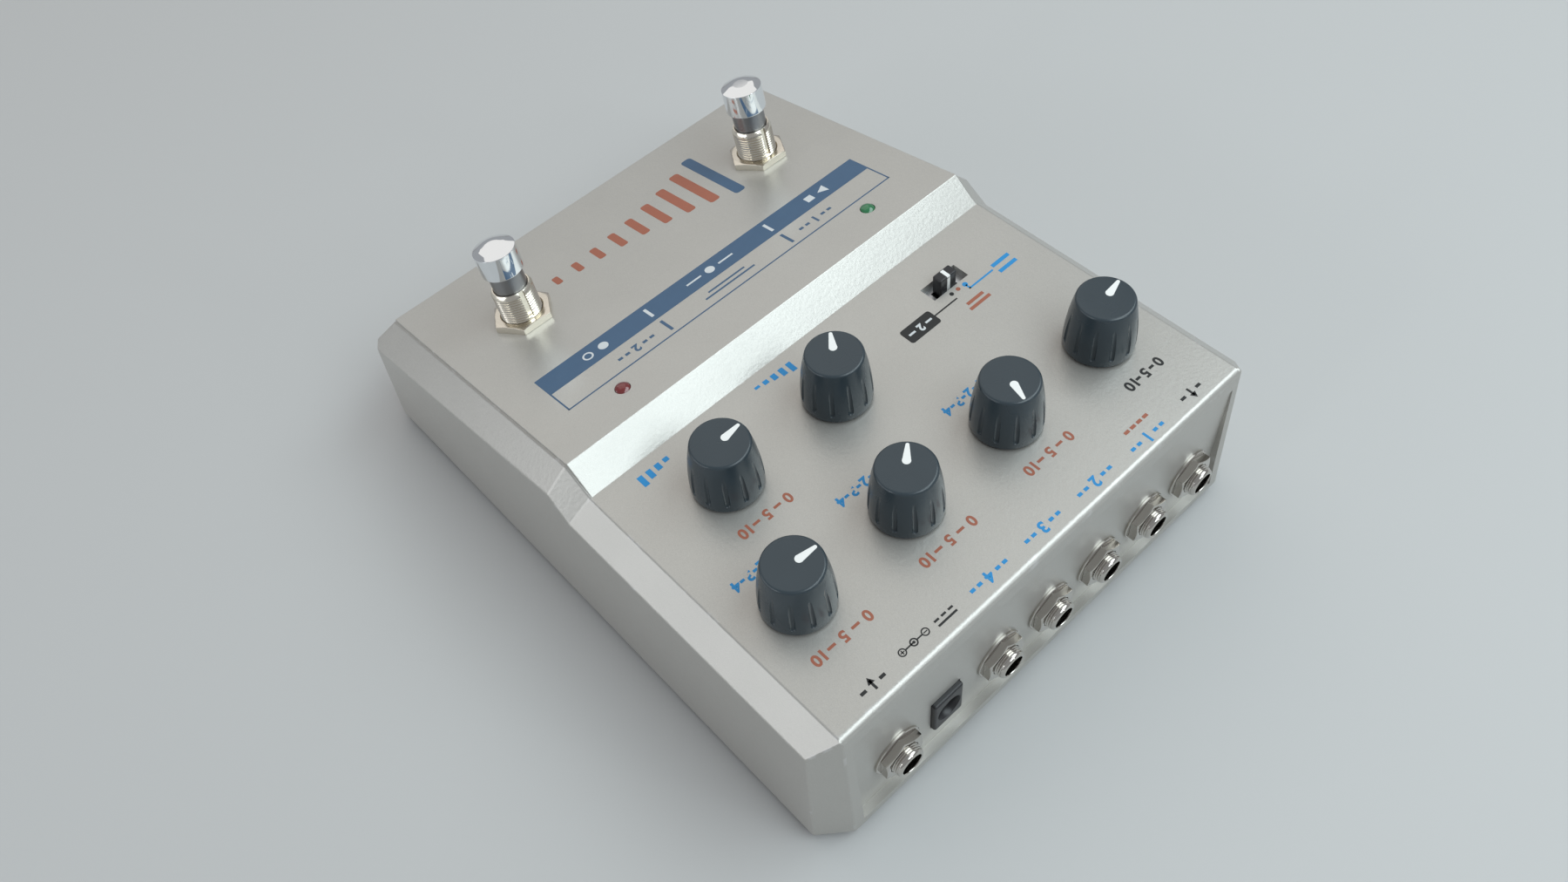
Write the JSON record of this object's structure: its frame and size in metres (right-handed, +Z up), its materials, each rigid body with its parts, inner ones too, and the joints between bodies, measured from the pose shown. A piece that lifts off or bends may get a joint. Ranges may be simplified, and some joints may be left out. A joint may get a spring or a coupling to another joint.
{
  "type": "delay pedal",
  "caption": "Floor effect pedal in a die-cast case: level panel of fluted knobs and a slide switch, sloped foot panel with sprung footswitches, rear row of phone jacks and a power inlet.",
  "frame": {"origin": "on the floor, under the middle of the overall box", "axes": "+X to the player's right, +Y to the rear (jack side), +Z up"},
  "size_m": [0.1692, 0.2132, 0.0776],
  "materials": {
    "case_paint": "satin metallic warm grey paint over an aluminium die casting",
    "plate_paint": "satin dark grey paint",
    "steel": "plain zinc plated",
    "nickel": "nickel plated",
    "chrome": "polished",
    "dark_steel": "ground",
    "rubber": "matt",
    "board": "green lacquer",
    "knob_plastic": "satin slate black",
    "pointer_white": "smooth white",
    "shaft_metal": "turned",
    "black_plastic": "satin",
    "switch_blue": "satin",
    "lamp_red": "clear tinted",
    "lamp_green": "clear tinted"
  },
  "bodies": {
    "case": {"housing": "case_paint", "base_plate": "plate_paint", "base_screws": "steel", "rubber_feet": "rubber", "main_board": "board", "jack_board": "board", "pot_nuts": "nickel", "slide_body": "black_plastic", "lamp_left": "lamp_green", "lamp_right": "lamp_red", "lamp_spacers": "black_plastic", "foot_nuts": "nickel", "foot_washers": "steel", "jack_bodies": "black_plastic", "jack_nuts": "nickel", "jack_washers": "nickel", "inlet": "black_plastic", "inlet_pin": "nickel", "pot_1": "steel", "jack_1": "nickel", "pot_2": "steel", "jack_2": "nickel", "pot_3": "steel", "jack_3": "nickel", "pot_4": "steel", "jack_4": "nickel", "pot_5": "steel", "jack_5": "nickel", "pot_6": "steel", "jack_6": "nickel", "foot_left_body": "switch_blue", "foot_left_bushing": "nickel", "foot_left_spring": "steel", "foot_right_body": "switch_blue", "foot_right_bushing": "nickel", "foot_right_spring": "steel"},
    "knob_1_turn": {"knob_1": "knob_plastic", "pointer_1": "pointer_white", "shaft_1": "shaft_metal"},
    "knob_2_turn": {"knob_2": "knob_plastic", "pointer_2": "pointer_white", "shaft_2": "shaft_metal"},
    "knob_3_turn": {"knob_3": "knob_plastic", "pointer_3": "pointer_white", "shaft_3": "shaft_metal"},
    "knob_4_turn": {"knob_4": "knob_plastic", "pointer_4": "pointer_white", "shaft_4": "shaft_metal"},
    "knob_5_turn": {"knob_5": "knob_plastic", "pointer_5": "pointer_white", "shaft_5": "shaft_metal"},
    "knob_6_turn": {"knob_6": "knob_plastic", "pointer_6": "pointer_white", "shaft_6": "shaft_metal"},
    "slide_lever_body": {"slide_lever": "black_plastic"},
    "foot_left_press": {"foot_left_plunger": "dark_steel", "foot_left_cap": "chrome"},
    "foot_right_press": {"foot_right_plunger": "dark_steel", "foot_right_cap": "chrome"}
  },
  "joints": [
    {"name": "knob_1_spin", "type": "hinge", "parent": "case", "child": "knob_1_turn", "pos_m": [-0.057, 0.06677, 0.055], "axis": [0, 0, 1], "range_deg": [-252, 48]},
    {"name": "knob_2_spin", "type": "hinge", "parent": "case", "child": "knob_2_turn", "pos_m": [-0.019, 0.06677, 0.055], "axis": [0, 0, 1], "range_deg": [-130, 170]},
    {"name": "knob_3_spin", "type": "hinge", "parent": "case", "child": "knob_3_turn", "pos_m": [0.019, 0.06677, 0.055], "axis": [0, 0, 1], "range_deg": [-281.5, 18.5]},
    {"name": "knob_4_spin", "type": "hinge", "parent": "case", "child": "knob_4_turn", "pos_m": [0.057, 0.06677, 0.055], "axis": [0, 0, 1], "range_deg": [-236, 64]},
    {"name": "knob_5_spin", "type": "hinge", "parent": "case", "child": "knob_5_turn", "pos_m": [0.006, 0.02797, 0.055], "axis": [0, 0, 1], "range_deg": [-294, 6]},
    {"name": "knob_6_spin", "type": "hinge", "parent": "case", "child": "knob_6_turn", "pos_m": [0.046, 0.02797, 0.055], "axis": [0, 0, 1], "range_deg": [-246, 54]},
    {"name": "mode_slide", "type": "slide", "parent": "case", "child": "slide_lever_body", "axis": [1, 0, 0], "range_m": [-0.0026, 0.0026]},
    {"name": "foot_left_stroke", "type": "slide", "parent": "case", "child": "foot_left_press", "axis": [0, 0.1771, -0.9842], "range_m": [0, 0.0035], "stiffness_N_per_m": 1500, "springref_m": -0.006, "deforming": ["foot_left_spring"]},
    {"name": "foot_right_stroke", "type": "slide", "parent": "case", "child": "foot_right_press", "axis": [0, 0.1771, -0.9842], "range_m": [0, 0.0035], "stiffness_N_per_m": 1500, "springref_m": -0.006, "deforming": ["foot_right_spring"]}
  ]
}
